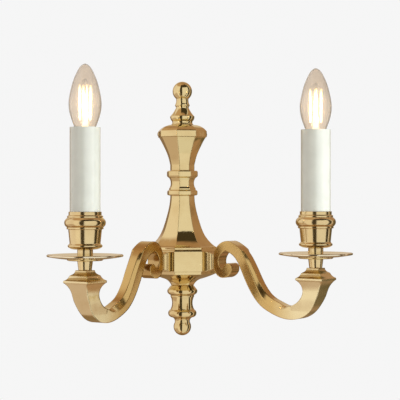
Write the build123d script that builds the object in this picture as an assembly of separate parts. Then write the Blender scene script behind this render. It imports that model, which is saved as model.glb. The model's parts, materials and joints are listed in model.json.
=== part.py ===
from build123d import *
import math
import os

# Double arm wall sconce: an octagonal cast column with two S-scroll arms, each with a candle lamp.
# Millimetres. X runs along the wall, Y = 0 is the wall and -Y points into the room, Z is up.
# The origin lies midway between the two wall fixing holes.

# ---- column casting: half widths across the flats, and heights ----
axis_gap = 10.0            # column axis in front of the wall
casting_wall = 4.0
neck_half = 13.1
waist_half = 12.6           # between the two rings
ring_half = 16.7
band_half = 26.4
cap_half = 12.8            # flat on top that carries the upper finial
flare_half = 36.6          # lower end of the long flare
block_half = 38.5
foot_half = 12.4           # lower end of the casting, above the lower finial
cap_height = 7.5
band_top = 73.3
band_height = 6.5
taper_height = 31.8        # from under the band down to the upper neck
upper_ring_top = 28.5
upper_ring_height = 7.7
lower_ring_top = 8.0
lower_ring_height = 8.0
flare_height = 57.4
block_step = 2.0           # plain fillet above the block
foot_step = 3.4            # plain fillet below the block
block_lead = 1.9           # how far the lower fillet stands back from the block
block_bevel = 2.3
block_height = 22.4
foot_height = 13.4         # cove below the lower fillet

# ---- finials, and the nuts on their spigots ----
upper_finial_height = 49.6
upper_ball_r = 11.1
upper_bell_r = 14.0
upper_stem_r = 7.0
lower_finial_height = 57.9
lower_ball_r = 10.0
lower_torus_r = 17.2
lower_bulb_r = 16.2
lower_waist_r = 11.7
lower_stem_r = 8.6
spigot_r = 4.0
spigot_end = 1.5           # spigot beyond its nut
finial_nut_flats = 13.0
finial_nut_height = 5.0

# ---- wall bracket ----
fixing_spacing = 100.0
fixing_hole_r = 2.25
fixing_slot_length = 8.0
strap_width = 12.0
strap_thickness = 2.0
strap_room = 0.6           # clear space beside the strap in the column's channel
strap_end_width = 30.0
strap_end_height = 22.0
strap_end_bottom = -78.5
cable_hole_r = 6.5
grommet_wall = 1.5
grommet_lip = 1.4
ear_height = 7.6
ear_reach = 18.0           # how far the ears stand into the room
ear_gap = 2.2              # between ear and casting
earth_screw_r = 3.0
earth_screw_height = 2.5
earth_screw_z = -24.0
terminal_width = 21.0
terminal_height = 11.0
terminal_depth = 13.0
terminal_top = -33.0
terminal_poles = 3
terminal_screw_r = 1.9

# ---- side screws ----
side_screw_z = 70.0
side_screw_r = 2.0
side_screw_head_r = 2.9
side_screw_head_height = 2.2
side_screw_tip = 3.0       # length past the inner face of the ear
screw_slot_width = 0.8
screw_slot_depth = 1.0

# ---- arms ----
arm_angle = 45.0           # from the wall's normal, towards each side
arm_reach = 174.0          # column axis to candle axis
bar_width = 16.0
bar_depth = 14.0
crest_depth = 11.2
bar_chamfer = 3.0
arm_top = -77.4            # top plate of the square boss
arm_bottom = -133.5
bar_foot_back = 41.0       # start of the rising bar, behind the candle axis
lip_half = 16.0
lip_drop = 11.0
lip_height = 1.8
plate_half = 7.2
boss_neck_half = 10.4
scroll_rise = 23.4         # crest above the middle of the block
scroll_wall = 6.8
scroll_length = 24.1       # back of the scroll to the end of its curl
collar_length = 9.8
collar_half = 11.0
collar_neck_half = 8.2

# ---- threaded tubes and nuts ----
tube_r = 5.0
tube_bore_r = 3.5
thread_fit = 0.05
tube_nut_flats = 13.0
tube_nut_height = 3.5
tube_end = 1.5             # tube beyond its nut
arm_tube_seat = 4.8        # depth of the arm tube in the scroll
boss_tube_seat = 9.0       # depth of the candle tube in the boss

# ---- candle stack, from the arm upwards ----
coupler_height = 10.1
coupler_top_r = 8.0
coupler_bottom_r = 6.9
pan_washer_r = 19.0
pan_washer_height = 1.2
pan_r = 39.5
pan_gauge = 1.6
pan_rise = 2.9
pan_rim_bead = 1.15
pan_well_r = 19.5
spacer_height = 8.7
spacer_r = 8.1
cup_height = 38.7
cup_rim_r = 17.0
cup_collar_r = 18.2         # bead under the rim
cup_bulge_r = 21.4
cup_bead_r = 19.0           # fillet under the bulge
cup_body_r = 17.4
cup_taper = 1.5
cup_base_r = 17.9
cup_wall = 2.4
cup_floor = 3.0
cup_ledge = 12.8           # how deep the candle sleeve sits in the cup
sleeve_r = 15.8
sleeve_wall = 1.5
sleeve_length = 99.9
sleeve_gap = 0.3           # between sleeve and cup, and between sleeve and holder

# ---- lamp holder and lamp ----
holder_drop = 15.0         # holder rim below the top of the candle sleeve
holder_height = 46.0
holder_step = 0.9
holder_boss_r = 8.5
socket_depth = 18.2
holder_tube_seat = 8.0
lamp_cap_r = 11.0
lamp_cap_wall = 0.7
lamp_cap_height = 24.0
lamp_cap_gap = 0.35        # between lamp cap and socket wall
insulator_height = 3.0
insulator_base_r = 8.6
pin_r = 1.0
pin_reach = 1.6            # pins beyond the cap
pin_height = 7.0
pin_gap = 0.3
hook_turn = 14.0           # degrees from the open slot to the end of its hook
hook_rise = 1.6
contact_r = 2.3
contact_offset = 5.0
contact_height = 0.5
contact_gap = 0.3
plunger_r = 1.8
plunger_height = 1.2
glass_r = 16.9
glass_height = 72.9
glass_widest = 42.2        # tip down to the widest place
glass_wall = 0.8
stem_flare_r = 9.4
stem_r = 3.0
stem_height = 20.0
filament_r = 0.9
filament_length = 34.0
filament_base_r = 2.0
filament_spread = 5.4
filament_count = 4

# ---- worked out from the above ----
cap_top = band_top + cap_height
band_bottom = band_top - band_height
upper_neck_top = band_bottom - taper_height
flare_top = lower_ring_top - lower_ring_height - 1
flare_bottom = flare_top - flare_height
block_top = flare_bottom - block_step - block_bevel
block_bottom = block_top - block_height
block_mid = (block_top + block_bottom) / 2
foot_bottom = block_bottom - foot_step - foot_height
cavity_floor = block_bottom + casting_wall
cavity_top = cap_top - casting_wall + 1.3
scroll_back = block_half + collar_length
crest = block_mid + scroll_rise
lip_top = arm_top - lip_drop
lip_bottom = lip_top - lip_height
pan_washer_bottom = arm_top + coupler_height
pan_bottom = pan_washer_bottom + pan_washer_height
spacer_bottom = pan_bottom + pan_gauge
cup_bottom = spacer_bottom + spacer_height
cup_top = cup_bottom + cup_height
sleeve_bottom = cup_top - cup_ledge
sleeve_top = sleeve_bottom + sleeve_length
sleeve_bore_r = sleeve_r - sleeve_wall
holder_r = sleeve_bore_r - sleeve_gap
socket_shell_r = holder_r - holder_step
socket_r = lamp_cap_r + lamp_cap_gap
holder_top = sleeve_top - holder_drop
holder_bottom = holder_top - holder_height
socket_floor = holder_top - socket_depth
lamp_cap_bottom = socket_floor + plunger_height + contact_gap + contact_height
lamp_cap_top = lamp_cap_bottom + lamp_cap_height
glass_tip = lamp_cap_top + glass_height
stem_top = lamp_cap_top + stem_height
pin_z = lamp_cap_bottom + pin_height
ear_outer = band_half - casting_wall - ear_gap
ear_inner = ear_outer - strap_thickness
fixture_back = Pos(0, -axis_gap, 0)
BEYOND = 400.0             # larger than the whole fixture
OVERCUT = 1.0


def between(low, high, share):
    return low + (high - low) * share


def outline(start, *moves):
    """Closed face in the XZ plane. A move is an end point for a straight run, a pair of points for
    an arc through the first to the second, or a list of points for one smooth curve."""
    edges = []
    here = start
    for move in moves:
        if isinstance(move, list):
            edges.append(Spline(here, *move))
            here = move[-1]
        elif isinstance(move[0], tuple):
            edges.append(ThreePointArc(here, move[0], move[1]))
            here = move[1]
        else:
            edges.append(Line(here, move))
            here = move
    edges.append(Line(here, start))
    return Plane.XZ * make_face(edges)


def turned(start, *moves):
    """Turned piece: the outline holds the metal on one side of the Z axis."""
    return revolve(outline(start, *moves), Axis.Z)


def faceted(half_face, turns):
    """Turning with flat sides: the same profile drawn from several sides and intersected."""
    slab = extrude(half_face + mirror(half_face, Plane.YZ), amount=BEYOND / 2, both=True)
    solid = slab
    for turn in turns:
        solid = solid & (Rot(0, 0, turn) * slab)
    return solid


def octagonal(start, *moves):
    return faceted(outline(start, *moves), (45, 90, 135))


def square(start, *moves):
    return faceted(outline(start, *moves), (90,))


def rod(radius, low, high):
    """Round bar along Z between two heights."""
    return Pos(0, 0, (low + high) / 2) * Cylinder(radius, high - low)


def hex_nut(flats, bore_r, low, height):
    blank = extrude(RegularPolygon(flats / 2, 6, major_radius=False), amount=height)
    return Pos(0, 0, low) * (blank - rod(bore_r, -OVERCUT, height + OVERCUT))


def box_between(low, high):
    size = [high[k] - low[k] for k in range(3)]
    middle = [(high[k] + low[k]) / 2 for k in range(3)]
    return Pos(*middle) * Box(*size)


def on_arm(side, shape):
    """Takes a piece drawn with the arm along +X to the left or the right arm."""
    turn = -90 + (arm_angle if side == "right" else -arm_angle)
    return fixture_back * Rot(0, 0, turn) * shape


def at_candle(side, shape):
    return on_arm(side, Pos(arm_reach, 0, 0) * shape)


def on_column(shape):
    return fixture_back * shape


def before_wall(shape):
    """Cuts a piece of the column off flat where it meets the wall."""
    return shape & box_between((-BEYOND, -BEYOND, -BEYOND), (BEYOND, 0, BEYOND))


# ---- column casting ----

def column_curves(inset):
    """Side of the column from the band down to the block, moved in by the inset."""
    taper = [(0.79, 0.10), (0.58, 0.28), (0.38, 0.46), (0.21, 0.64), (0.09, 0.82), (0, 1)]
    flare = [(0.037, 0.17), (0.142, 0.37), (0.279, 0.57), (0.476, 0.77), (0.685, 0.89), (0.855, 0.96), (1, 1)]
    upper = [(between(neck_half, band_half, out) - inset, between(band_bottom, upper_neck_top, down))
             for out, down in taper]
    lower = [(between(neck_half, flare_half, out) - inset, between(flare_top, flare_bottom, down))
             for out, down in flare]
    return upper, lower


def column_outside():
    taper, flare = column_curves(0)
    ring_bottom = upper_ring_top - upper_ring_height
    bead_bottom = lower_ring_top - lower_ring_height
    bead_half = ring_half - 0.3
    return octagonal(
        (0, cap_top),
        (cap_half, cap_top),
        ((band_half - 4.9, band_top + 4.7), (band_half, band_top)),
        (band_half, band_bottom),
        (band_half - 1.1, band_bottom - 0.4),
        taper,
        (neck_half, upper_ring_top),
        (ring_half - 1.8, upper_ring_top),
        ((ring_half - 0.5, upper_ring_top - 0.6), (ring_half, upper_ring_top - 2.0)),
        (ring_half, ring_bottom + 2.4),
        ((ring_half - 0.5, ring_bottom + 0.9), (ring_half - 1.6, ring_bottom)),
        (ring_half - 2.0, ring_bottom - 0.2),
        ((waist_half + 0.6, ring_bottom - 2.8), (waist_half, ring_bottom - 6.0)),
        (waist_half, lower_ring_top + 6.0),
        ((waist_half + 0.5, lower_ring_top + 2.6), (bead_half - 2.0, lower_ring_top)),
        (bead_half - 2.0, lower_ring_top - 1.4),
        (bead_half - 1.4, lower_ring_top - 1.7),
        ((bead_half - 0.4, lower_ring_top - 2.5), (bead_half, lower_ring_top - 3.9)),
        (bead_half, bead_bottom + 2.0),
        ((bead_half - 0.4, bead_bottom + 0.9), (bead_half - 1.4, bead_bottom + 0.3)),
        (neck_half, bead_bottom),
        (neck_half, flare_top),
        flare,
        (flare_half, flare_bottom - block_step),
        (block_half, block_top),
        (block_half, block_bottom),
        (block_half - block_lead, block_bottom),
        (block_half - block_lead - 0.6, block_bottom - foot_step),
        ((foot_half + 16.4, foot_bottom + 10.1), (foot_half + 8.1, foot_bottom + 7.2)),
        ((foot_half + 2.6, foot_bottom + 3.9), (foot_half, foot_bottom)),
        (0, foot_bottom))


def column_cavity():
    taper, flare = column_curves(casting_wall)
    inner_band = band_half - casting_wall
    return octagonal(
        (0, cavity_top),
        (cap_half, cavity_top),
        (inner_band, band_top + casting_wall / 2),
        (inner_band, band_bottom),
        taper,
        (neck_half - casting_wall, flare_top),
        flare,
        (block_half - casting_wall, flare_bottom - casting_wall),
        (block_half - casting_wall, cavity_floor),
        (0, cavity_floor))


def body_casting():
    body = on_column(column_outside() - column_cavity())
    channel_half = strap_width / 2 + strap_room
    body -= box_between((-channel_half, -strap_thickness - OVERCUT, cavity_floor),
                        (channel_half, OVERCUT, band_top))
    body -= on_column(rod(spigot_r + thread_fit, foot_bottom - OVERCUT, cavity_floor + OVERCUT))
    body -= on_column(rod(spigot_r + thread_fit, cavity_top - OVERCUT, cap_top + OVERCUT))
    arm_hole = Pos(block_half, 0, block_mid) * Rot(0, 90, 0) * Cylinder(tube_r + thread_fit, 4 * casting_wall)
    for side in ("left", "right"):
        body -= on_arm(side, arm_hole)
    screw_hole = Rot(0, 90, 0) * Cylinder(side_screw_r + 0.1, BEYOND)
    body -= on_column(Pos(0, 0, side_screw_z) * screw_hole)
    return before_wall(body)


# ---- finials and their nuts ----

def top_finial():
    """Ball, two necks with a ring between them, and a bell on a spread foot."""
    base = cap_top
    ball = base + upper_finial_height - upper_ball_r
    foot_r = cap_half - 0.2
    neck_r = upper_stem_r + 0.35
    knob = Pos(0, 0, ball) * Sphere(upper_ball_r)
    stem = turned(
        (0, base),
        (foot_r, base),
        (foot_r, base + 0.6),
        ((foot_r - 0.9, base + 1.9), (foot_r - 1.1, base + 3.4)),
        (foot_r - 0.9, base + 4.2),
        ((upper_bell_r - 0.5, base + 6.9), (upper_bell_r - 0.1, base + 9.8)),
        ((neck_r + 2.9, base + 14.3), (neck_r, base + 19.4)),
        (neck_r, base + 20.8),
        ((neck_r + 1.0, base + 22.0), (neck_r + 0.8, base + 23.3)),
        ((upper_stem_r + 0.35, base + 25.4), (upper_stem_r, base + 28.1)),
        (upper_stem_r, ball),
        (0, ball))
    spigot = rod(spigot_r, cavity_top - finial_nut_height - spigot_end, base + OVERCUT)
    return before_wall(on_column(knob + stem + spigot))


def bottom_finial():
    """Two torus mouldings with a waisted body between them, ending in a ball."""
    top = foot_bottom
    ball = top - lower_finial_height + lower_ball_r
    stem = turned(
        (0, top),
        (foot_half, top),
        (lower_torus_r - 0.4, top - 5.4),
        ((lower_torus_r, top - 7.3), (lower_torus_r - 1.7, top - 10.4)),
        (lower_waist_r + 1.7, top - 11.9),
        (lower_waist_r + 1.9, top - 13.1),
        ((lower_waist_r, top - 20.5), (lower_waist_r + 1.9, top - 28.1)),
        (lower_bulb_r - 2.0, top - 28.6),
        ((lower_bulb_r, top - 32.4), (lower_bulb_r - 3.4, top - 36.9)),
        ((lower_stem_r + 1.2, top - 38.4), (lower_stem_r, top - 40.6)),
        (lower_stem_r, ball),
        (0, ball))
    knob = Pos(0, 0, ball) * Sphere(lower_ball_r)
    spigot = rod(spigot_r, top - OVERCUT, cavity_floor + finial_nut_height + spigot_end)
    return before_wall(on_column(stem + knob + spigot))


def finial_nuts():
    bore = spigot_r + thread_fit
    upper = hex_nut(finial_nut_flats, bore, cavity_top - finial_nut_height, finial_nut_height)
    lower = hex_nut(finial_nut_flats, bore, cavity_floor, finial_nut_height)
    return on_column(upper + lower)


# ---- wall bracket and what it carries ----

def wall_bracket():
    """Flat strap on the wall, with a wider lower end and two ears that stand into the room."""
    ear_top = side_screw_z + ear_height / 2
    ear_bottom = side_screw_z - ear_height / 2
    end_half = strap_end_width / 2
    strap = box_between((-strap_width / 2, -strap_thickness, strap_end_bottom),
                        (strap_width / 2, 0, ear_top))
    head = box_between((-ear_outer, -strap_thickness, ear_bottom), (ear_outer, 0, ear_top))
    foot = box_between((-end_half, -strap_thickness, strap_end_bottom),
                       (end_half, 0, strap_end_bottom + strap_end_height))
    foot = fillet(foot.edges().filter_by(Axis.Y), strap_end_height / 6)
    bracket = strap + head + foot
    notch_half = side_screw_r + 0.3
    for sign in (-1, 1):
        inner, outer = sorted((sign * ear_inner, sign * ear_outer))
        ear = box_between((inner, -ear_reach, ear_bottom), (outer, 0, ear_top))
        ear -= box_between((inner - OVERCUT, -ear_reach - OVERCUT, side_screw_z - notch_half),
                           (outer + OVERCUT, -axis_gap, side_screw_z + notch_half))
        ear -= Pos(sign * ear_outer, -axis_gap, side_screw_z) * Rot(0, 90, 0) * Cylinder(notch_half, ear_reach)
        bracket += ear
    slot = Plane.XZ * Rot(0, 0, 90) * SlotOverall(fixing_slot_length, 2 * fixing_hole_r)
    for z in (-fixing_spacing / 2, fixing_spacing / 2):
        bracket -= Pos(0, 0, z) * extrude(slot, amount=4 * strap_thickness, both=True)
    bracket -= cable_place() * Cylinder(cable_hole_r, 4 * strap_thickness)
    return bracket


def cable_place():
    """Middle of the cable hole, on the wall, with the local Z axis into the room."""
    return Pos(0, 0, strap_end_bottom + strap_end_height / 2) * Rot(90, 0, 0)


def cable_grommet():
    lip_r = cable_hole_r + grommet_lip
    body = turned(
        (cable_hole_r - grommet_wall, 0),
        (cable_hole_r, 0),
        (cable_hole_r, strap_thickness),
        (lip_r, strap_thickness),
        ((lip_r - 0.3, strap_thickness + 1.0), (lip_r - grommet_lip, strap_thickness + grommet_lip)),
        (cable_hole_r - grommet_wall, strap_thickness + grommet_lip))
    return cable_place() * body


def earth_screw():
    head = turned(
        (0, strap_thickness),
        (earth_screw_r, strap_thickness),
        (earth_screw_r, strap_thickness + 1.0),
        ((earth_screw_r * 0.75, strap_thickness + 2.0), (0, strap_thickness + earth_screw_height)))
    slot = Pos(0, 0, strap_thickness + earth_screw_height) * Box(2.5 * earth_screw_r, screw_slot_width,
                                                                2 * screw_slot_depth)
    return Pos(0, 0, earth_screw_z) * Rot(90, 0, 0) * (head - slot)


def terminal_pitch():
    return terminal_width / terminal_poles


def terminal_block():
    """Strip of screw connectors with a raised barrel over each pole."""
    front = -strap_thickness - terminal_depth
    block = box_between((-terminal_width / 2, front + 2.5, terminal_top - terminal_height),
                        (terminal_width / 2, -strap_thickness, terminal_top))
    mid = terminal_top - terminal_height / 2
    for k in range(terminal_poles):
        x = (k - (terminal_poles - 1) / 2) * terminal_pitch()
        barrel = Pos(x, front + 2.5, mid) * Rot(90, 0, 0) * Cylinder(terminal_screw_r + 1.0, 5)
        entry = Pos(x, -strap_thickness - terminal_depth * 0.45, mid) * Cylinder(2.0, 2 * terminal_height)
        well = Pos(x, front, mid) * Rot(90, 0, 0) * Cylinder(terminal_screw_r + 0.1, 5)
        block = block + barrel - entry - well
    return block


def terminal_screws():
    front = -strap_thickness - terminal_depth
    screws = []
    for k in range(terminal_poles):
        x = (k - (terminal_poles - 1) / 2) * terminal_pitch()
        head = rod(terminal_screw_r, -2.5, -0.9) - Pos(0, 0, -0.9) * Box(5, screw_slot_width, 1.4)
        screws.append(Pos(x, front, terminal_top - terminal_height / 2) * Rot(90, 0, 0) * head)
    return screws[0] + screws[1:]


def side_screw(side):
    """Round slotted head outside the band, shank through the casting into the ear's notch."""
    length = band_half - ear_inner + side_screw_tip
    head = turned(
        (0, 0),
        (side_screw_head_r, 0),
        (side_screw_head_r, 0.7),
        ((side_screw_head_r * 0.72, side_screw_head_height * 0.82), (0, side_screw_head_height)))
    head -= Pos(0, 0, side_screw_head_height) * Box(3 * side_screw_head_r, screw_slot_width, 2 * screw_slot_depth)
    screw = head + rod(side_screw_r, -length, 0)
    sign = 1 if side == "right" else -1
    return on_column(Pos(sign * band_half, 0, side_screw_z) * Rot(0, sign * 90, 0) * screw)


# ---- arms ----

def rise_points():
    """Lower edge of the rising bar, from the foot of the bend up to the top of the loop."""
    foot = (arm_reach - bar_foot_back, arm_bottom + 2.0)
    loop = (scroll_back + 15.2, crest - crest_depth)
    shape = [(0, 0), (0.17, 0.065), (0.32, 0.15), (0.52, 0.375), (0.67, 0.65), (0.81, 0.893), (1, 1)]
    return [(between(foot[0], loop[0], run), between(foot[1], loop[1], up)) for run, up in shape]


def bar_depth_at(share):
    """Depth of the bar, thinning over the crest."""
    thinning = max(0.0, share - 0.70) / 0.30
    return between(bar_depth, crest_depth, thinning)


def above_bar(share, offset):
    """Point at a share of the bar's lower edge, moved square to it by the offset."""
    lower = Spline(*outer_bend()[-2:], *rise_points())
    point = lower @ share
    along = (lower % share).normalized()
    return (point.X + along.Y * offset, point.Y - along.X * offset)


def upper_points():
    """Upper edge of the bar: its lower edge moved out by the depth."""
    shares = [between(0.22, 0.95, k / 8) for k in range(9)]
    return [above_bar(share, bar_depth_at(share)) for share in shares]


def outer_bend():
    """Outside of the bend, from the lip down and round to the lowest place."""
    r = arm_reach
    return [(r + 12.6, lip_bottom - 4.0), (r + 9.8, lip_bottom - 9.4), (r + 7.4, lip_bottom - 16.3),
            (r + 4.2, lip_bottom - 22.8), (r - 0.6, arm_bottom + 12.6), (r - 8.6, arm_bottom + 5.2),
            (r - 19.0, arm_bottom + 0.9), (r - 30.0, arm_bottom)]


def inner_bend():
    """Inside of the bend, from the lip down to the start of the rising bar."""
    r = arm_reach
    return [(r - 12.4, lip_bottom - 3.9), (r - 10.7, lip_bottom - 8.4), (r - 10.5, lip_bottom - 13.3),
            (r - 12.7, lip_bottom - 19.0), (r - 17.2, arm_bottom + 19.4), (r - 25.0, arm_bottom + 15.2),
            (r - 33.5, arm_bottom + 14.1)]


def scroll(x, z):
    return (scroll_back + x, crest + z)


def arm_side():
    """Side view of the whole arm in one outline."""
    tip = scroll_length
    loop = [scroll(9.7, -14.8), scroll(scroll_wall - 0.1, -21.0), scroll(scroll_wall + 0.3, -26.5),
            scroll(11.4, -30.9)]
    curl = [scroll(14.5, -27.4), scroll(tip - 5.9, -24.7), scroll(tip - 1.6, -26.3), scroll(tip, -30.5),
            scroll(tip - 1.5, -35.5), scroll(tip - 5.9, -39.4), scroll(tip - 12.2, -41.1), scroll(5.2, -38.7),
            scroll(1.3, -34.0), scroll(0, -30.8)]
    top = [scroll(2.2, -9.8), scroll(6.7, -4.2), scroll(12.7, -0.9), scroll(18.5, 0)]
    crown = top + list(reversed(upper_points()))
    return outline(
        (arm_reach + lip_half, lip_bottom),
        outer_bend() + rise_points(),
        loop,
        curl,
        scroll(0, -15.2),
        crown + list(reversed(inner_bend())) + [(arm_reach - lip_half, lip_bottom)])


def chamfer_cutter():
    """Takes the upper edge off one side of the bar, running out to nothing at both ends. The cut is
    wide at the foot of the bend and narrow along the rise."""
    inner, outer = bar_width / 2 - bar_chamfer, bar_width / 2 + OVERCUT
    cuts = (0, 1.9, 2.3, 2.0, 1.6, 1.25, 1.1, 1.0, 0)
    edge, lowered, clear = [], [], []
    for k, cut in enumerate(cuts):
        share = between(0.10, 0.89, k / (len(cuts) - 1))
        depth = bar_depth_at(share)
        edge.append(above_bar(share, depth))
        lowered.append(above_bar(share, depth - cut * (outer - inner)))
        clear.append(above_bar(share, depth + bar_chamfer))
    faces = []
    for row, y in ((edge, inner), (lowered, outer)):
        rim = [Spline(*row), Line(row[-1], clear[-1]), Spline(*reversed(clear)), Line(clear[0], row[0])]
        faces.append(Pos(0, y, 0) * (Plane.XZ * make_face(rim)))
    return loft(faces, ruled=True)


def arm(side):
    """Scrolled bar, and a bend that swells into a square moulded boss."""
    body = extrude(arm_side(), amount=bar_width / 2, both=True)
    cutter = chamfer_cutter()
    body = body - cutter - mirror(cutter, Plane.XZ)
    start = arm_reach - 26.0
    bend = extrude(arm_side(), amount=lip_half + OVERCUT, both=True)
    bend = bend & box_between((start, -BEYOND, arm_bottom - OVERCUT), (BEYOND, BEYOND, lip_bottom))
    front = [(boss_neck_half + 1.4, lip_bottom - 5.8), (boss_neck_half, lip_bottom - 12.0),
             (boss_neck_half - 0.3, lip_bottom - 20.0), (bar_width / 2 + 0.9, lip_bottom - 28.0),
             (bar_width / 2, lip_bottom - 34.0)]
    view = outline((0, lip_bottom), (lip_half, lip_bottom), front,
                   (bar_width / 2, arm_bottom - OVERCUT), (0, arm_bottom - OVERCUT))
    swell = Rot(0, 0, 90) * extrude(view + mirror(view, Plane.YZ), amount=BEYOND, both=True)
    body += bend & swell
    body += Pos(arm_reach, 0, 0) * boss_top()
    body -= Pos(arm_reach, 0, 0) * rod(tube_r + thread_fit, arm_top - boss_tube_seat, arm_top + OVERCUT)
    body -= (Pos(scroll_back, 0, block_mid) * Rot(0, 90, 0)
             * rod(tube_r + thread_fit, -OVERCUT, arm_tube_seat))
    return on_arm(side, body)


def boss_top():
    """Square pyramid of two coves, from the lip up to the small top plate."""
    return square(
        (0, arm_top),
        (plate_half, arm_top),
        (plate_half, arm_top - 1.0),
        ((plate_half + 1.0, arm_top - 3.1), (plate_half + 3.4, arm_top - 4.9)),
        (plate_half + 4.2, arm_top - 5.6),
        ((plate_half + 5.6, arm_top - 8.4), (lip_half - 0.6, lip_top + 0.5)),
        (lip_half, lip_top),
        (lip_half, lip_bottom),
        (0, lip_bottom))


def arm_collar(side):
    """Square moulding between the block and the scroll, turned about the arm's own axis."""
    profile = square(
        (0, 0),
        (collar_half, 0),
        (collar_half - 0.4, 3.7),
        (collar_half - 1.6, 4.2),
        (collar_half - 0.9, 4.9),
        (collar_half - 0.9, 6.1),
        (collar_half - 1.6, 6.5),
        ((collar_neck_half + 0.3, 7.6), (collar_neck_half, collar_length)),
        (0, collar_length))
    profile -= rod(tube_r + thread_fit, -OVERCUT, collar_length + OVERCUT)
    return on_arm(side, Pos(block_half, 0, block_mid) * Rot(0, 90, 0) * profile)


def inner_wall():
    return block_half - casting_wall


def arm_tubes():
    start = inner_wall() - tube_nut_height - tube_end
    tube = rod(tube_r, start, scroll_back + arm_tube_seat) - rod(tube_bore_r, 0, BEYOND)
    tube = Pos(0, 0, block_mid) * Rot(0, 90, 0) * tube
    return on_arm("left", tube) + on_arm("right", tube)


def arm_nuts():
    nut = hex_nut(tube_nut_flats, tube_r + thread_fit, inner_wall() - tube_nut_height, tube_nut_height)
    nut = Pos(0, 0, block_mid) * Rot(30, 0, 0) * Rot(0, 90, 0) * nut
    return on_arm("left", nut) + on_arm("right", nut)


# ---- candle stack ----

def coupler(side):
    bore = tube_r + thread_fit
    top = pan_washer_bottom
    return at_candle(side, turned(
        (bore, arm_top),
        (coupler_bottom_r, arm_top),
        (coupler_top_r, top - 1.4),
        (coupler_top_r, top),
        (bore, top)))


def pan_washer(side):
    bore = tube_r + thread_fit
    top = pan_bottom
    return at_candle(side, turned(
        (bore, pan_washer_bottom),
        (pan_washer_r - 3.0, pan_washer_bottom),
        ((pan_washer_r - 0.5, pan_washer_bottom + 0.35), (pan_washer_r, top)),
        (bore, top)))


def drip_pan(side):
    """Shallow spun dish with a flat well and a beaded rim."""
    bore = tube_r + thread_fit
    rim = pan_bottom + pan_rise + pan_gauge / 2
    edge_r = pan_r - pan_rim_bead
    return at_candle(side, turned(
        (bore, pan_bottom),
        (pan_well_r, pan_bottom),
        ((between(pan_well_r, edge_r, 0.55), pan_bottom + pan_rise * 0.40), (edge_r, rim - pan_rim_bead)),
        ((pan_r, rim), (edge_r, rim + pan_rim_bead)),
        (edge_r - pan_rim_bead, rim + pan_gauge / 2),
        ((between(pan_well_r, edge_r, 0.55), pan_bottom + pan_gauge + pan_rise * 0.40),
         (pan_well_r, spacer_bottom)),
        (bore, spacer_bottom)))


def pan_spacer(side):
    bore = tube_r + thread_fit
    return at_candle(side, turned(
        (bore, spacer_bottom),
        (spacer_r + 0.4, spacer_bottom),
        (spacer_r + 0.4, spacer_bottom + 0.8),
        (spacer_r, spacer_bottom + 1.3),
        (spacer_r, cup_bottom),
        (bore, cup_bottom)))


def candle_cup(side):
    """Vase-shaped cup: rim, bulge with a bead below it, tapered body and a beaded base."""
    floor, top = cup_bottom, cup_top
    ledge = sleeve_bottom
    well = cup_body_r - cup_wall
    body = turned(
        (tube_r + thread_fit, floor),
        (spacer_r + 0.6, floor),
        ((cup_base_r - 3.2, floor + 0.7), (cup_base_r - 0.9, floor + 1.9)),
        ((cup_base_r, floor + 3.3), (cup_base_r - 1.1, floor + 5.0)),
        (cup_body_r - cup_taper, floor + 6.2),
        (cup_body_r, top - 18.0),
        (cup_bead_r - 0.2, top - 18.0),
        ((cup_bead_r, top - 17.0), (cup_bead_r - 0.3, top - 16.0)),
        ((cup_bulge_r, top - 11.3), (cup_bulge_r - 1.5, top - 7.6)),
        (cup_collar_r, top - 6.0),
        ((cup_collar_r + 0.3, top - 5.0), (cup_collar_r - 0.3, top - 4.0)),
        (cup_rim_r, top - 3.6),
        (cup_rim_r, top),
        (sleeve_r + sleeve_gap, top),
        (sleeve_r + sleeve_gap, ledge),
        (well, ledge),
        (well - cup_taper, floor + cup_floor + 2),
        (well - cup_taper - 2.0, floor + cup_floor),
        (tube_r + thread_fit, floor + cup_floor))
    return at_candle(side, body)


def candle_tube(side):
    """Threaded tube that ties the boss, coupler, pan, cup and lamp holder together."""
    tube = rod(tube_r, arm_top - boss_tube_seat, holder_bottom + holder_tube_seat)
    return at_candle(side, tube - rod(tube_bore_r, -BEYOND, BEYOND))


def cup_nuts():
    nut = hex_nut(tube_nut_flats, tube_r + thread_fit, cup_bottom + cup_floor, tube_nut_height)
    return at_candle("left", nut) + at_candle("right", nut)


def candle_sleeve(side):
    return at_candle(side, rod(sleeve_r, sleeve_bottom, sleeve_top)
                     - rod(sleeve_bore_r, sleeve_bottom - OVERCUT, sleeve_top + OVERCUT))


def lamp_holder(side):
    """Bayonet holder with two hooked slots and a threaded entry below."""
    low, top = holder_bottom, holder_top
    body = turned(
        (tube_r + thread_fit, low),
        (holder_boss_r, low),
        (holder_boss_r, low + 6.0),
        (socket_shell_r, low + 12.0),
        (socket_shell_r, top - 15.0),
        (holder_r, top - 14.0),
        (holder_r, top - 9.5),
        (socket_shell_r, top - 9.5),
        (socket_shell_r, top),
        (socket_r, top),
        (socket_r, socket_floor),
        (0, socket_floor),
        (0, low + holder_tube_seat),
        (tube_r + thread_fit, low + holder_tube_seat))
    slot_half = pin_r + pin_gap
    slot_floor = pin_z - slot_half
    for turn in (0, 180):
        leg = box_between((socket_r - OVERCUT, -slot_half, slot_floor), (holder_r + OVERCUT, slot_half, top + OVERCUT))
        hook = box_between((socket_r - OVERCUT, -slot_half, slot_floor),
                           (holder_r + OVERCUT, slot_half, pin_z + slot_half + hook_rise))
        body -= Rot(0, 0, turn) * leg
        body -= Rot(0, 0, turn - hook_turn) * hook
    return at_candle(side, body)


def contact_pair(shape):
    """The same contact on both sides of the lamp axis, across the line of the pins."""
    return Pos(0, contact_offset, 0) * shape + Pos(0, -contact_offset, 0) * shape


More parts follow.
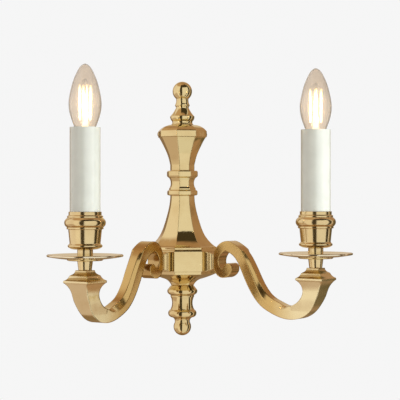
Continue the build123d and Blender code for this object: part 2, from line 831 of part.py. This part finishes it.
def holder_plungers(side):
    plunger = turned(
        (0, socket_floor),
        (plunger_r, socket_floor),
        (plunger_r, socket_floor + plunger_height - 0.4),
        (plunger_r - 0.4, socket_floor + plunger_height),
        (0, socket_floor + plunger_height))
    return at_candle(side, contact_pair(plunger))


def lamp_cap(side):
    """Brass shell of the lamp cap with its two pins."""
    low = lamp_cap_bottom + insulator_height
    inner = lamp_cap_r - lamp_cap_wall
    shell = turned(
        (inner, low),
        (lamp_cap_r - 0.4, low),
        (lamp_cap_r, low + 0.8),
        (lamp_cap_r, lamp_cap_top),
        (inner, lamp_cap_top))
    for turn in (0, 180):
        pin = Rot(0, 0, turn) * Pos(0, 0, pin_z) * Rot(0, 90, 0) * rod(pin_r, inner + 0.1, lamp_cap_r + pin_reach)
        shell += pin
    return at_candle(side, shell)


def cap_insulator(side):
    low = lamp_cap_bottom
    inner = lamp_cap_r - lamp_cap_wall
    return at_candle(side, turned(
        (0, low),
        (insulator_base_r, low),
        (inner, low + insulator_height - 0.4),
        (inner, low + insulator_height + 2.0),
        (0, low + insulator_height + 2.0)))


def cap_contacts(side):
    disc = rod(contact_r, lamp_cap_bottom - contact_height, lamp_cap_bottom)
    return at_candle(side, contact_pair(disc))


def glass_curve(inset):
    """Candle-shaped envelope from the tip down to the cap, moved in by the wall."""
    shape = [(0.04, 0.285), (0.12, 0.50), (0.22, 0.69), (0.37, 0.875), (glass_widest / glass_height, 1.0),
             (0.76, 0.87), (0.82, 0.78), (0.87, 0.70), (0.91, 0.645), (0.95, 0.625)]
    points = [(glass_r * out - inset, glass_tip - glass_height * down) for down, out in shape]
    return [(0, glass_tip - inset)] + points + [(lamp_cap_r - inset, lamp_cap_top)]


def lamp_glass(side):
    outer, inner = glass_curve(0), glass_curve(glass_wall)
    shell = turned(outer[0], outer[1:], inner[-1], list(reversed(inner[:-1])))
    return at_candle(side, shell)


def lamp_stem(side):
    """Flared glass stem that closes the neck and carries the filaments."""
    low = lamp_cap_top
    return at_candle(side, turned(
        (0, low),
        (stem_flare_r, low),
        (stem_flare_r, low + 1.0),
        ((stem_r + 2.4, low + 4.2), (stem_r, low + 9.5)),
        (stem_r, stem_top),
        (0, stem_top)))


def filaments(side):
    """Straight light strips that lean outwards from the top of the stem."""
    lean = math.degrees(math.asin((filament_spread - filament_base_r) / filament_length))
    seat = filament_r * math.sin(math.radians(lean))
    strips = []
    for k in range(filament_count):
        strip = Pos(filament_base_r, 0, stem_top + seat) * Rot(0, lean, 0) * rod(filament_r, 0, filament_length)
        strips.append(Rot(0, 0, 45 + 360 / filament_count * k) * strip)
    return at_candle(side, strips[0] + strips[1:])


single_nodes = {
    "wall_bracket": wall_bracket,
    "cable_grommet": cable_grommet,
    "earth_screw": earth_screw,
    "terminal_block": terminal_block,
    "terminal_screws": terminal_screws,
    "body_casting": body_casting,
    "top_finial": top_finial,
    "bottom_finial": bottom_finial,
    "finial_nuts": finial_nuts,
    "arm_tubes": arm_tubes,
    "arm_nuts": arm_nuts,
    "cup_nuts": cup_nuts,
}

paired_nodes = {
    "side_screw": side_screw,
    "arm": arm,
    "arm_collar": arm_collar,
    "coupler": coupler,
    "pan_washer": pan_washer,
    "drip_pan": drip_pan,
    "pan_spacer": pan_spacer,
    "candle_cup": candle_cup,
    "candle_tube": candle_tube,
    "candle_sleeve": candle_sleeve,
    "lamp_holder": lamp_holder,
    "holder_plungers": holder_plungers,
    "lamp_cap": lamp_cap,
    "cap_insulator": cap_insulator,
    "cap_contacts": cap_contacts,
    "lamp_glass": lamp_glass,
    "lamp_stem": lamp_stem,
    "filaments": filaments,
}

os.makedirs("parts", exist_ok=True)
for name, build in single_nodes.items():
    export_step(build(), f"parts/{name}.step")
for name, build in paired_nodes.items():
    for side in ("left", "right"):
        export_step(build(side), f"parts/{side}_{name}.step")
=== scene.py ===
import bpy
import bmesh
import json
import math
from mathutils import Matrix, Vector


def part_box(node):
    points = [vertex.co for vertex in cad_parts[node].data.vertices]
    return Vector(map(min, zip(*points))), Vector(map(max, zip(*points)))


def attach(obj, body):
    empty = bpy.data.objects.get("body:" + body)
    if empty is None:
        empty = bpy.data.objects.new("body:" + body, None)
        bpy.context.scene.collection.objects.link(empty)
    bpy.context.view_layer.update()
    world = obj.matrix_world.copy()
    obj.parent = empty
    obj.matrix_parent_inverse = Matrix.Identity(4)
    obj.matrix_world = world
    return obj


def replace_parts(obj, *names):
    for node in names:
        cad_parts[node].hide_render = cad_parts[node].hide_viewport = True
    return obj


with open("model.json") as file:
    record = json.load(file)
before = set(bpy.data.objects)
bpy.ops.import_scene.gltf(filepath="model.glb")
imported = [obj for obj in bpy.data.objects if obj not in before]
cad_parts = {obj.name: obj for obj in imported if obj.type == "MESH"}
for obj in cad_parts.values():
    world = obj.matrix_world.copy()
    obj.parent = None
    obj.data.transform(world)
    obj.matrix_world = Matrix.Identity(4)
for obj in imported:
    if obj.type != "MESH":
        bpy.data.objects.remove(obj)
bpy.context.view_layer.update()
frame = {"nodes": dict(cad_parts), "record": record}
nodes = frame["nodes"]
scene = bpy.context.scene

# metres, in the frame of the CAD
column_axis = (0.0, -0.010, 0.0)
bar_r = 0.124                    # the arm's bar lies within this distance of the column's axis, where its painted reflection is full
boss_r = 0.150                   # and its boss beyond this one, where the painted reflection is gone

strip_count = 4
strip_ring_r = 0.0059            # light strips stand on a ring round the lamp's axis
strip_foot_r = strip_ring_r * 0.94
strip_r = 0.00058
strip_low = 0.0778
strip_high = 0.1135
strip_turns = {"left": 12.0, "right": -8.0}    # degrees
wire_r = 0.0002
wire_hub_r = 0.0004              # the wires meet above the strips
wire_hub_z = 0.1195
wire_foot_r = 0.0016             # and end inside the glass of the stem below them
wire_foot_z = strip_low - 0.0006

glow_low = 0.098                 # painted glow: the glass is paler below this height, beside the strips
glow_high = 0.118                # and has its own tint above this one
glow_gain = 1.07

floor_size = 6.0
floor_z = -0.62
paper_white = 0.92               # brightness of the pale background

key_place = (1.15, -0.95, 0.10)
key_aim = (0, -0.08, 0)
key_size = (0.6, 1.1)
key_watts = 18.6

camera_place = (-0.2466, -1.4309, -0.005)
camera_heading = (0.1848, 0.9828)    # x and y of the direction it looks in
camera_lens = 113.4
camera_sensor = 36.0
camera_range = (0.05, 20.0)


# ---------------------------------------------------------------- node helpers
def new_material(name):
    mat = bpy.data.materials.new(name)
    mat.use_nodes = True
    tree = mat.node_tree
    tree.nodes.clear()
    out = tree.nodes.new("ShaderNodeOutputMaterial")
    return mat, tree, out


def node(tree, kind, inputs=None, **props):
    """Adds a node. An input is a constant, or another node's socket to link from."""
    made = tree.nodes.new(kind)
    for key, value in props.items():
        setattr(made, key, value)
    for key, value in (inputs or {}).items():
        if isinstance(value, bpy.types.NodeSocket):
            tree.links.new(value, made.inputs[key])
        else:
            made.inputs[key].default_value = value
    return made


def math_node(tree, operation, first, second=None):
    inputs = {0: first} if second is None else {0: first, 1: second}
    return node(tree, "ShaderNodeMath", inputs, operation=operation).outputs[0]


def noise(tree, coord, scale, detail=4.0, rough=0.5):
    made = node(tree, "ShaderNodeTexNoise", {"Vector": coord, "Scale": scale, "Detail": detail, "Roughness": rough})
    return made.outputs["Fac"]


def ramp(tree, value, stops):
    """Colour ramp from a list of (position, colour)."""
    made = node(tree, "ShaderNodeValToRGB", {"Fac": value})
    elements = made.color_ramp.elements
    elements[0].position, elements[0].color = stops[0]
    elements[1].position, elements[1].color = stops[-1]
    for position, colour in stops[1:-1]:
        elements.new(position).color = colour
    return made.outputs["Color"]


def ranged(tree, value, source, target, **props):
    """Moves a value from the source range to the target range."""
    made = node(tree, "ShaderNodeMapRange", {"Value": value, "From Min": source[0], "From Max": source[1],
                                             "To Min": target[0], "To Max": target[1]}, **props)
    return made.outputs["Result"]


def mapped(tree, value, low, high):
    """Moves a 0..1 value to low..high."""
    return ranged(tree, value, (0.0, 1.0), (low, high))


def mixed(tree, factor, a, b):
    return node(tree, "ShaderNodeMix", {"Factor": factor, "A": a, "B": b}, data_type="RGBA").outputs["Result"]


def bumped(tree, height, strength, distance, normal=None):
    inputs = {"Height": height, "Strength": strength, "Distance": distance}
    if normal is not None:
        inputs["Normal"] = normal
    return node(tree, "ShaderNodeBump", inputs).outputs["Normal"]


def object_coord(tree):
    return node(tree, "ShaderNodeTexCoord").outputs["Object"]


def scaled(tree, coord, scale):
    return node(tree, "ShaderNodeMapping", {"Vector": coord, "Scale": scale}).outputs["Vector"]


def height_of(tree, coord):
    return node(tree, "ShaderNodeSeparateXYZ", {"Vector": coord}).outputs["Z"]


def opaque(colour):
    return (*colour, 1.0)


def grey(v):
    return (v, v, v, 1.0)


def finish_material(mat, tree, out, inputs):
    shader = node(tree, "ShaderNodeBsdfPrincipled", inputs)
    tree.links.new(shader.outputs[0], out.inputs["Surface"])
    return mat


# ---------------------------------------------------------------- materials
def make_brass(name, colour, deep, rough, edge, swelling, lines=(1.0, 1.0, 9.0), reach=0.0035,
               shade=(0.30, 0.78), bar_reflection_colour=None):
    """Polished brass: buffing lines, faint clouding of the polish, rounded edges, and grooves darkened by
    tarnishing and painted shade.

    colour and deep are the two tones of the clouding. edge is the radius that edges are rounded to in the
    shading, and swelling the strength of the casting's unevenness. lines scales the buffing grain along x, y and
    z. reach is how far the walls of a groove are looked for, and shade the openness over which the grooves'
    tarnishing and painted shade give way to the full colour. bar_reflection_colour is a painted reflection, a
    darker tone on the arm's bar, which blends into the rest towards the boss.
    """
    mat, tree, out = new_material(name)
    coord = object_coord(tree)
    cloud = noise(tree, coord, 38.0, 5.0, 0.55)
    fine = noise(tree, coord, 900.0, 3.0, 0.6)
    grain = noise(tree, scaled(tree, object_coord(tree), lines), 260.0, 4.0, 0.6)
    swell = noise(tree, coord, 55.0, 2.0, 0.4)

    # painted shade with tarnishing: ambient occlusion darkens the colour in grooves and recesses
    groove = node(tree, "ShaderNodeAmbientOcclusion", {"Distance": reach}, samples=8).outputs["AO"]
    groove = ramp(tree, groove, [(shade[0], grey(0.0)), (shade[1], grey(1.0))])
    tone = ramp(tree, cloud, [(0.30, opaque(deep)), (0.52, opaque(colour)), (0.80, opaque(colour))])
    # painted reflection: the arm's bar takes a darker tone, fading out towards the boss
    if bar_reflection_colour:
        level = scaled(tree, coord, (1.0, 1.0, 0.0))
        away = node(tree, "ShaderNodeVectorMath", {0: level, 1: column_axis}, operation="DISTANCE").outputs["Value"]
        bar = ramp(tree, away, [(bar_r, grey(1.0)), (boss_r, grey(0.0))])
        tone = mixed(tree, bar, tone, opaque(bar_reflection_colour))
    # the grooves' colour: tarnishing with painted shade over it
    tarnish_and_shade = (deep[0] * 0.62, deep[1] * 0.52, deep[2] * 0.42, 1.0)

    normal = node(tree, "ShaderNodeBevel", {"Radius": edge}, samples=12).outputs["Normal"]
    normal = bumped(tree, grain, 0.03, 0.0003, normal)
    normal = bumped(tree, swell, swelling, 0.0012, normal)
    normal = bumped(tree, fine, 0.01, 0.0002, normal)
    roughness = math_node(tree, "ADD", mapped(tree, cloud, rough * 0.70, rough * 1.30),
                          mapped(tree, grain, -0.02, 0.04))
    return finish_material(mat, tree, out, {"Base Color": mixed(tree, groove, tarnish_and_shade, tone), "Metallic": 1.0,
                                            "Roughness": roughness, "Normal": normal})


def make_metal(name, colour, rough):
    """Plated or plain small metal parts with a dulled, slightly scratched surface."""
    mat, tree, out = new_material(name)
    coord = object_coord(tree)
    cloud = noise(tree, coord, 120.0, 5.0, 0.6)
    fine = noise(tree, coord, 1200.0, 4.0, 0.6)
    dark = opaque([c * 0.72 for c in colour])
    tone = ramp(tree, cloud, [(0.30, dark), (0.70, opaque(colour))])
    return finish_material(mat, tree, out, {"Base Color": tone, "Metallic": 1.0,
                                            "Roughness": mapped(tree, cloud, rough * 0.8, rough * 1.25),
                                            "Normal": bumped(tree, fine, 0.12, 0.0002)})


def make_plastic(name, colour, rough, bump_scale=1800.0, coat=0.0, subsurface=0.0):
    """Moulded plastic or coated tube: fine orange peel and a little unevenness of tone."""
    mat, tree, out = new_material(name)
    coord = object_coord(tree)
    cloud = noise(tree, coord, 60.0, 4.0, 0.5)
    fine = noise(tree, coord, bump_scale, 3.0, 0.6)
    dark = opaque([c * 0.94 for c in colour])
    tone = ramp(tree, cloud, [(0.35, dark), (0.65, opaque(colour))])
    normal = bumped(tree, cloud, 0.04, 0.0005, bumped(tree, fine, 0.08, 0.0002))
    return finish_material(mat, tree, out, {"Base Color": tone, "Metallic": 0.0,
                                            "Roughness": mapped(tree, cloud, rough * 0.88, rough * 1.15),
                                            "Coat Weight": coat, "Coat Roughness": 0.18,
                                            "Subsurface Weight": subsurface,
                                            "Subsurface Radius": (0.003, 0.0026, 0.002),
                                            "Subsurface Scale": 1.0, "Normal": normal})


def make_glass(name, rough, glow):
    """Clear lamp glass with a faint warm tint and slight waviness, and a painted glow that makes it paler beside
    the light strips.

    glow is the strength of the painted glow that the glass itself gives off.
    """
    mat, tree, out = new_material(name)
    coord = object_coord(tree)
    wave = noise(tree, coord, 45.0, 2.0, 0.4)
    tone = ramp(tree, wave, [(0.3, (0.86, 0.775, 0.68, 1.0)), (0.7, (0.89, 0.81, 0.72, 1.0))])
    # painted glow: the glass's tint is paler low down, beside the light strips
    gain = ranged(tree, height_of(tree, coord), (glow_low, glow_high), (glow_gain, 1.0),
                  interpolation_type="SMOOTHSTEP")
    tone = node(tree, "ShaderNodeVectorMath", {0: tone, "Scale": gain}, operation="SCALE").outputs[0]
    return finish_material(mat, tree, out, {"Base Color": tone, "Roughness": rough, "IOR": 1.45,
                                            "Transmission Weight": 1.0, "Emission Color": (1.0, 0.86, 0.60, 1.0),
                                            "Emission Strength": glow, "Normal": bumped(tree, wave, 0.05, 0.0006)})


def make_filament(name):
    """Row of light chips under a yellow coat: hot white bands with warm gaps, weaker towards both ends."""
    mat, tree, out = new_material(name)
    coord = object_coord(tree)
    bands = node(tree, "ShaderNodeTexWave", {"Vector": coord, "Scale": 260.0, "Distortion": 0.0, "Detail": 0.0},
                 wave_type="BANDS", bands_direction="Z").outputs["Fac"]
    tone = ramp(tree, bands, [(0.1, (1.0, 0.66, 0.26, 1.0)), (0.7, (1.0, 0.86, 0.58, 1.0))])
    share = ranged(tree, height_of(tree, coord), (strip_low, strip_high), (0.0, 1.0))
    fading = ramp(tree, share, [(0.0, grey(0.25)), (0.22, grey(0.9)), (0.5, grey(1.0)), (0.72, grey(0.55)),
                                (1.0, grey(0.06))])
    power = math_node(tree, "MULTIPLY", mapped(tree, bands, 12.0, 26.0), fading)
    return finish_material(mat, tree, out, {"Base Color": (0.95, 0.72, 0.30, 1.0), "Roughness": 0.5,
                                            "Emission Color": tone, "Emission Strength": power})


materials = {
    "polished_brass": make_brass("polished_brass", (0.735, 0.593, 0.303), (0.67, 0.515, 0.245), rough=0.07,
                                 edge=0.0014, swelling=0.30),
    # the arms' wide reach and shade range spread painted shade into the insides of the scrolls
    "satin_brass": make_brass("satin_brass", (0.80, 0.68, 0.40), (0.74, 0.60, 0.33), rough=0.15, edge=0.0016,
                              swelling=0.10, lines=(1.0, 1.0, 1.0), reach=0.015, shade=(0.42, 0.92),
                              # painted reflection: a darker brown along the arm's bar
                              bar_reflection_colour=(0.60, 0.41, 0.155)),
    "spun_brass": make_brass("spun_brass", (0.72, 0.57, 0.30), (0.66, 0.50, 0.25), rough=0.15, edge=0.0010,
                             swelling=0.20),
    # deep_brass is a darker copy of the polished brass: painted shade on the bottom finial and the arm collars
    "deep_brass": make_brass("deep_brass", (0.69, 0.535, 0.265), (0.60, 0.44, 0.20), rough=0.08, edge=0.0014,
                             swelling=0.45, reach=0.0050),
    # pan_brass is a paler copy of the brass: a painted pale reflection over the drip pans
    "pan_brass": make_brass("pan_brass", (0.80, 0.72, 0.53), (0.74, 0.65, 0.45), rough=0.10, edge=0.0008,
                            swelling=0.15),
    "fixing_brass": make_brass("fixing_brass", (0.46, 0.34, 0.175), (0.36, 0.25, 0.12), rough=0.18, edge=0.0003,
                               swelling=0.10, lines=(3.0, 3.0, 3.0)),
    "zinc_steel": make_metal("zinc_steel", (0.60, 0.60, 0.58), 0.34),
    "lamp_cap_metal": make_metal("lamp_cap_metal", (0.74, 0.74, 0.73), 0.28),
    "contact_metal": make_metal("contact_metal", (0.66, 0.66, 0.64), 0.40),
    "ivory_sleeve": make_plastic("ivory_sleeve", (0.70, 0.745, 0.68), 0.24, coat=0.8, subsurface=0.05),
    "holder_plastic": make_plastic("holder_plastic", (0.05, 0.04, 0.035), 0.30),
    "cap_insulator": make_plastic("cap_insulator", (0.035, 0.033, 0.036), 0.22),
    "terminal_plastic": make_plastic("terminal_plastic", (0.72, 0.72, 0.69), 0.42),
    "grommet_rubber": make_plastic("grommet_rubber", (0.035, 0.035, 0.036), 0.60, bump_scale=1200.0),
    "clear_glass": make_glass("clear_glass", rough=0.22, glow=0.0),
    # the lamp stem's glass gives off a painted glow
    "lit_stem": make_glass("lit_stem", rough=0.0, glow=0.8),
    "filament": make_filament("filament"),
}

# pieces whose material differs a little from their record slot's, by the end of their name. deep_brass carries
# painted shade, pan_brass a painted reflection and lit_stem a painted glow.
finishes = {
    "_arm": "satin_brass",
    "_lamp_stem": "lit_stem",
    "bottom_finial": "deep_brass",
    "_arm_collar": "deep_brass",
    "_candle_cup": "spun_brass",
    "_coupler": "spun_brass",
    "_pan_spacer": "spun_brass",
    "_drip_pan": "pan_brass",
}

for part in frame["record"]["subparts"]:
    finish = part["material_slot"]
    for ending, own_finish in finishes.items():
        if part["node"].endswith(ending):
            finish = own_finish
    mesh_materials = nodes[part["node"]].data.materials
    mesh_materials.clear()
    mesh_materials.append(materials[finish])


# ---------------------------------------------------------------- light strips of the lamps
def add_rod(mesh, start, end, radius, sides):
    """Adds a closed rod from start to end to the mesh."""
    axis = end - start
    place = Matrix.Translation((start + end) / 2) @ axis.to_track_quat("Z", "Y").to_matrix().to_4x4()
    bmesh.ops.create_cone(mesh, cap_ends=True, segments=sides, radius1=radius, radius2=radius,
                          depth=axis.length, matrix=place)


def finished(mesh, name, material, body):
    """Turns the mesh into an object that rides on a body."""
    data = bpy.data.meshes.new(name)
    mesh.to_mesh(data)
    mesh.free()
    for face in data.polygons:
        face.use_smooth = len(face.vertices) == 4
    data.materials.append(material)
    obj = bpy.data.objects.new(name, data)
    scene.collection.objects.link(obj)
    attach(obj, body)
    return obj


def polar(centre, turn, radius, z):
    return Vector((centre[0] + radius * math.cos(turn), centre[1] + radius * math.sin(turn), z))


for side, phase in strip_turns.items():
    low_corner, high_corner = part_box(side + "_lamp_stem")
    centre = [(low_corner[k] + high_corner[k]) / 2 for k in range(2)]
    strips = bmesh.new()
    wires = bmesh.new()
    for k in range(strip_count):
        turn = math.radians(phase + 360 / strip_count * k)
        foot = polar(centre, turn, strip_foot_r, strip_low)
        head = polar(centre, turn, strip_ring_r, strip_high)
        add_rod(strips, foot, head, strip_r, 12)
        add_rod(wires, head, polar(centre, turn, wire_hub_r, wire_hub_z), wire_r, 6)
        add_rod(wires, polar(centre, turn, wire_foot_r, wire_foot_z), foot, wire_r, 6)
    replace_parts(finished(strips, side + "_light_strips", materials["filament"], side + "_lamp"),
                side + "_filaments")
    finished(wires, side + "_strip_wires", materials["contact_metal"], side + "_lamp")


# ---------------------------------------------------------------- floor
def seen_directly(tree, path):
    """1 for camera rays and for rays that have just come through glass, otherwise 0."""
    return math_node(tree, "MAXIMUM", path.outputs["Is Camera Ray"], path.outputs["Is Transmission Ray"])


def mixed_shaders(tree, factor, first, second):
    return node(tree, "ShaderNodeMixShader", {0: factor, 1: first.outputs[0], 2: second.outputs[0]})


half = floor_size / 2
corners = [(-half, -half, 0), (half, -half, 0), (half, half, 0), (-half, half, 0)]
mesh = bpy.data.meshes.new("floor")
mesh.from_pydata(corners, [], [(0, 1, 2, 3)])
floor = bpy.data.objects.new("floor", mesh)
floor.location = (0, 0, floor_z)
scene.collection.objects.link(floor)

mat, tree, out = new_material("pale_floor")
speck = noise(tree, object_coord(tree), 6.0, 3.0)
tone = ramp(tree, speck, [(0.3, grey(0.80)), (0.7, grey(0.83))])
shader = node(tree, "ShaderNodeBsdfPrincipled", {"Base Color": tone, "Roughness": 0.9})
paper = node(tree, "ShaderNodeEmission", {"Color": grey(1.0), "Strength": paper_white})
clear = node(tree, "ShaderNodeBsdfTransparent")
path = node(tree, "ShaderNodeLightPath")
surface = mixed_shaders(tree, path.outputs["Is Glossy Ray"], shader, clear)
surface = mixed_shaders(tree, seen_directly(tree, path), surface, paper)
tree.links.new(surface.outputs[0], out.inputs["Surface"])
floor.data.materials.append(mat)

# ---------------------------------------------------------------- world: a soft studio round the brass
world = bpy.data.worlds.new("studio")
scene.world = world
world.use_nodes = True
tree = world.node_tree
tree.nodes.clear()
out = tree.nodes.new("ShaderNodeOutputWorld")
direction = node(tree, "ShaderNodeTexCoord").outputs["Generated"]
xyz = node(tree, "ShaderNodeSeparateXYZ", {"Vector": direction})
# in degrees: azimuth 0 is towards the room (-Y) and grows towards +X, elevation is above the horizon
towards_room = math_node(tree, "MULTIPLY", xyz.outputs["Y"], -1.0)
azimuth = math_node(tree, "DEGREES", math_node(tree, "ARCTAN2", xyz.outputs["X"], towards_room))
elevation = math_node(tree, "DEGREES", math_node(tree, "ARCSINE", xyz.outputs["Z"]))


def band(value, limits, soft):
    """1 between the limits, falling smoothly to 0 over the soft margin outside."""
    low, high = limits
    rise = ranged(tree, value, (low - soft, low), (0.0, 1.0), interpolation_type="SMOOTHSTEP")
    fall = ranged(tree, value, (high, high + soft), (1.0, 0.0), interpolation_type="SMOOTHSTEP")
    return math_node(tree, "MULTIPLY", rise, fall)


def panel(base, colour, az, el, soft):
    """Lays a patch of colour over the base for a range of azimuth and elevation, with soft edges."""
    mask = math_node(tree, "MULTIPLY", band(azimuth, az, soft[0]), band(elevation, el, soft[1]))
    return mixed(tree, mask, base, opaque(colour))


room = node(tree, "ShaderNodeRGB")
room.outputs[0].default_value = (0.50, 0.32, 0.20, 1.0)
room = room.outputs[0]
# brown wall behind, darker low down and paler above, on both sides of azimuth 180
room = panel(room, (0.30, 0.20, 0.11), az=(-181.0, -148.0), el=(-80.0, 4.0), soft=(6.0, 4.0))
room = panel(room, (0.30, 0.20, 0.11), az=(142.0, 181.0), el=(-80.0, 4.0), soft=(6.0, 4.0))
room = panel(room, (0.74, 0.62, 0.48), az=(-181.0, -152.0), el=(10.0, 40.0), soft=(6.0, 4.0))
room = panel(room, (0.74, 0.62, 0.48), az=(152.0, 181.0), el=(10.0, 40.0), soft=(6.0, 4.0))
# dark room in front, behind the softbox
room = panel(room, (0.07, 0.055, 0.032), az=(-41.0, 88.0), el=(-50.0, 72.0), soft=(4.0, 8.0))
# pale reflector on the left: its dull lower part, its lit upper part and its front edge
room = panel(room, (0.70, 0.57, 0.50), az=(-138.0, -42.0), el=(-62.0, 10.0), soft=(6.0, 14.0))
room = panel(room, (1.02, 0.95, 0.92), az=(-138.0, -42.0), el=(-10.0, 44.0), soft=(6.0, 12.0))
room = panel(room, (1.08, 1.02, 0.96), az=(-74.0, -42.0), el=(-60.0, 52.0), soft=(5.0, 8.0))
# narrow strip light on the right, with dark cloth beside it
room = panel(room, (0.99, 0.96, 0.91), az=(92.0, 96.8), el=(-80.0, 60.0), soft=(3.0, 10.0))
room = panel(room, (0.17, 0.14, 0.08), az=(104.5, 112.0), el=(-13.0, 12.0), soft=(2.0, 4.0))
room = panel(room, (0.17, 0.14, 0.08), az=(112.0, 146.0), el=(-27.0, 12.0), soft=(3.0, 4.0))
# brown ceiling on the left
room = panel(room, (0.66, 0.46, 0.30), az=(-150.0, -46.0), el=(56.0, 90.0), soft=(6.0, 8.0))
# pale table below and the large softbox in front, on the right
room = panel(room, (0.92, 0.92, 0.90), az=(-9.0, 68.0), el=(-90.0, -34.0), soft=(5.0, 6.0))
room = panel(room, (1.00, 0.98, 0.97), az=(-9.0, 64.0), el=(-36.0, 41.0), soft=(3.0, 3.0))

backdrop = node(tree, "ShaderNodeBackground", {"Color": grey(1.0), "Strength": paper_white})
studio = node(tree, "ShaderNodeBackground", {"Color": room, "Strength": 1.0})
path = node(tree, "ShaderNodeLightPath")
sky = mixed_shaders(tree, seen_directly(tree, path), studio, backdrop)
tree.links.new(sky.outputs[0], out.inputs["Surface"])

# ---------------------------------------------------------------- key light
light = bpy.data.lights.new("key", "AREA")
light.shape = "RECTANGLE"
light.size, light.size_y = key_size
light.energy = key_watts
key = bpy.data.objects.new("key", light)
key.location = key_place
key.rotation_euler = (Vector(key_aim) - Vector(key_place)).to_track_quat("-Z", "Y").to_euler()
key.visible_glossy = False
key.visible_transmission = False
scene.collection.objects.link(key)

# ---------------------------------------------------------------- camera
camera = bpy.data.objects.new("camera", bpy.data.cameras.new("camera"))
scene.collection.objects.link(camera)
scene.camera = camera
camera.data.sensor_width = camera_sensor
camera.data.lens = camera_lens
camera.location = camera_place
camera.rotation_euler = (math.radians(90.0), 0.0, -math.atan2(*camera_heading))
camera.data.clip_start, camera.data.clip_end = camera_range

scene.view_settings.view_transform = "Standard"
